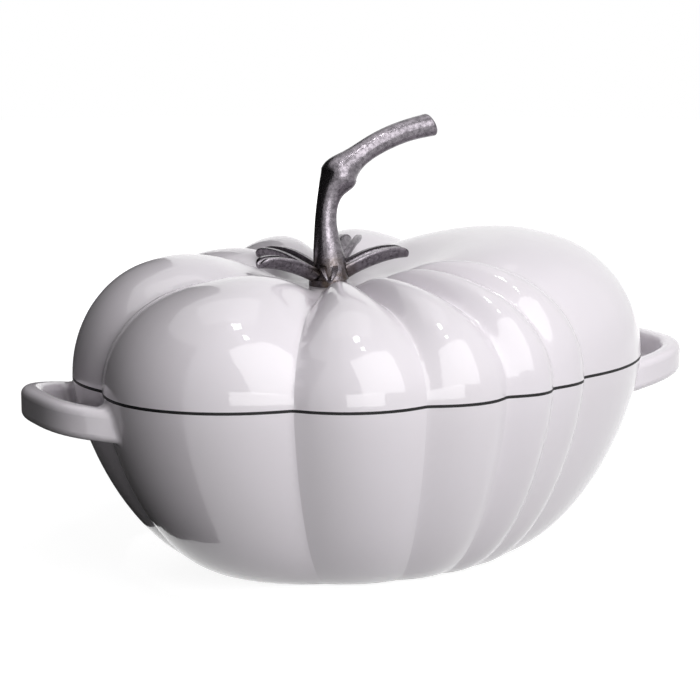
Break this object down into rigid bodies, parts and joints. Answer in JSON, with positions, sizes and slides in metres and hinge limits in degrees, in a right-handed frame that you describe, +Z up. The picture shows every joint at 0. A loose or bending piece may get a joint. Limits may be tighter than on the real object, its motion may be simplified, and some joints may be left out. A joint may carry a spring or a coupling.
{
  "type": "enamelled cast iron casserole",
  "caption": "Lobed, gourd-shaped cast iron pot in white enamel with a lobed lift-off lid, loop handles and a curved stem knob.",
  "frame": {"origin": "where the stem's axis meets the flat base the pot stands on", "axes": "+Z up, X along the line of the two loop handles with the broad lobe at +X, Y across the pot"},
  "size_m": [0.346, 0.2245, 0.2094],
  "materials": {
    "white_enamel": "glossy pale warm-grey white vitreous enamel over cast iron",
    "black_enamel": "matte black vitreous enamel, 0.3 mm",
    "knob_metal": "dark nickel plate with a fine brushed grain",
    "fastener_steel": "plain stainless steel"
  },
  "bodies": {
    "pot": {"pot_casting": "white_enamel", "pot_lining": "black_enamel"},
    "lid": {"lid_casting": "white_enamel", "lid_lining": "black_enamel", "calyx": "knob_metal", "stem": "knob_metal", "lid_washer": "fastener_steel", "spring_washer": "fastener_steel", "knob_screw": "fastener_steel"}
  },
  "joints": [
    {"name": "lid_lift", "type": "slide", "parent": "pot", "child": "lid", "axis": [0, 0, 1], "range_m": [0, 0.12]}
  ]
}
